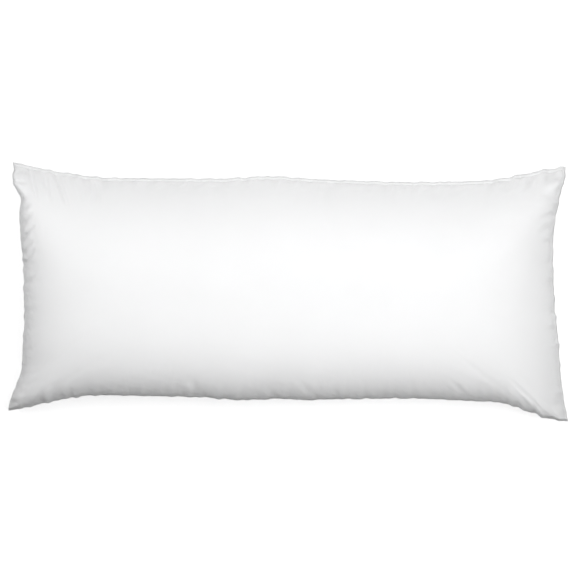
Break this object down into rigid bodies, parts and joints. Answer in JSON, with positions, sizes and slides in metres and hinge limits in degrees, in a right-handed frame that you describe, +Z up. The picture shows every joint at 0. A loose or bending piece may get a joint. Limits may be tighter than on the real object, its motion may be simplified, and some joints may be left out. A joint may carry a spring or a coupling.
{
  "type": "body pillow",
  "caption": "Long filled bed pillow of white cotton, sewn shut all round, with a full crown, drawn-in sides and pointed corners, lying on its back.",
  "frame": {"origin": "on the surface that the pillow lies on, under the middle of its bounding box", "axes": "+X along the pillow, +Y across it, +Z up, out of its front"},
  "size_m": [1.127, 0.521, 0.1992],
  "materials": {
    "cotton": "matt"
  },
  "bodies": {
    "root": {"pillow": "cotton"}
  },
  "joints": []
}
